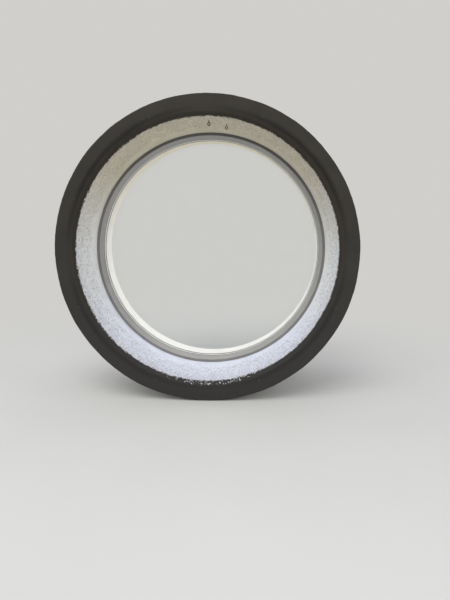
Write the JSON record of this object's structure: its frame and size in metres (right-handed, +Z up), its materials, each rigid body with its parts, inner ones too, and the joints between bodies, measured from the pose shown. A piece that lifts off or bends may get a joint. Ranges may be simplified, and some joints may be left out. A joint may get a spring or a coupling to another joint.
{
  "type": "round window",
  "caption": "Fixed round window for a thick wall, with a dark painted surround, rough white rendered reveal, slim grey frame and sealed double glazing.",
  "frame": {"origin": "on the window's axis, in the plane of the wall's room face", "axes": "+X right seen from the room, +Y outward through the wall along the window's axis, +Z up"},
  "size_m": [1.18, 0.494, 1.18],
  "materials": {
    "painted_board": "dark grey satin paint on a fibre board",
    "bond": "cured construction adhesive",
    "zinc_steel": "zinc plated",
    "fibre_cement": "raw, slightly mottled",
    "rough_render": "white stippled render",
    "smooth_render": "white trowelled render",
    "white_pvc": "plain white",
    "coated_aluminium": "grey satin powder coat",
    "mill_aluminium": "mill finish",
    "polyamide": "black, glass filled",
    "clear_glass": "clear float glass",
    "black_rubber": "black",
    "sieve_beads": "packed fine beads",
    "block_plastic": "plain",
    "foam": "cured, cut flush",
    "seal_tape": "soft expanding tape",
    "black_steel": "black coated wire",
    "nylon": "plain"
  },
  "bodies": {
    "root": {"bead_gasket": "black_rubber", "desiccant": "sieve_beads", "edge_seal": "black_rubber", "frame_connector_outer_bottom": "mill_aluminium", "frame_connector_outer_left": "mill_aluminium", "frame_connector_outer_right": "mill_aluminium", "frame_connector_outer_top": "mill_aluminium", "frame_connector_room_bottom": "mill_aluminium", "frame_connector_room_left": "mill_aluminium", "frame_connector_room_right": "mill_aluminium", "frame_connector_room_top": "mill_aluminium", "frame_outer_shell_lower_left": "coated_aluminium", "frame_outer_shell_lower_right": "coated_aluminium", "frame_outer_shell_upper_left": "coated_aluminium", "frame_outer_shell_upper_right": "coated_aluminium", "frame_packers": "block_plastic", "frame_room_shell_lower_left": "coated_aluminium", "frame_room_shell_lower_right": "coated_aluminium", "frame_room_shell_upper_left": "coated_aluminium", "frame_room_shell_upper_right": "coated_aluminium", "frame_screws": "zinc_steel", "glazing_bead_lower_left": "coated_aluminium", "glazing_bead_lower_right": "coated_aluminium", "glazing_bead_upper_left": "coated_aluminium", "glazing_bead_upper_right": "coated_aluminium", "hook_eye_left": "black_steel", "hook_eye_right": "black_steel", "hook_plug_left": "nylon", "hook_plug_right": "nylon", "inner_pane": "clear_glass", "location_block_left": "block_plastic", "location_block_right": "block_plastic", "location_block_top_left": "block_plastic", "location_block_top_right": "block_plastic", "outer_corner_bead": "white_pvc", "outer_pane": "clear_glass", "outer_reveal_render": "smooth_render", "outer_seal_tape": "seal_tape", "outer_stop_bead": "white_pvc", "perimeter_foam": "foam", "primary_seal_inner": "black_rubber", "primary_seal_outer": "black_rubber", "rebate_gasket": "black_rubber", "room_reveal_render": "rough_render", "room_seal_tape": "seal_tape", "room_stop_bead": "white_pvc", "setting_block_left": "block_plastic", "setting_block_right": "block_plastic", "spacer_bar": "mill_aluminium", "spacer_key": "mill_aluminium", "surround_adhesive": "bond", "surround_ring": "painted_board", "surround_screw_fillers": "painted_board", "surround_screws": "zinc_steel", "thermal_strips_lower_left": "polyamide", "thermal_strips_lower_right": "polyamide", "thermal_strips_upper_left": "polyamide", "thermal_strips_upper_right": "polyamide", "wall_sleeve": "fibre_cement"}
  },
  "joints": []
}
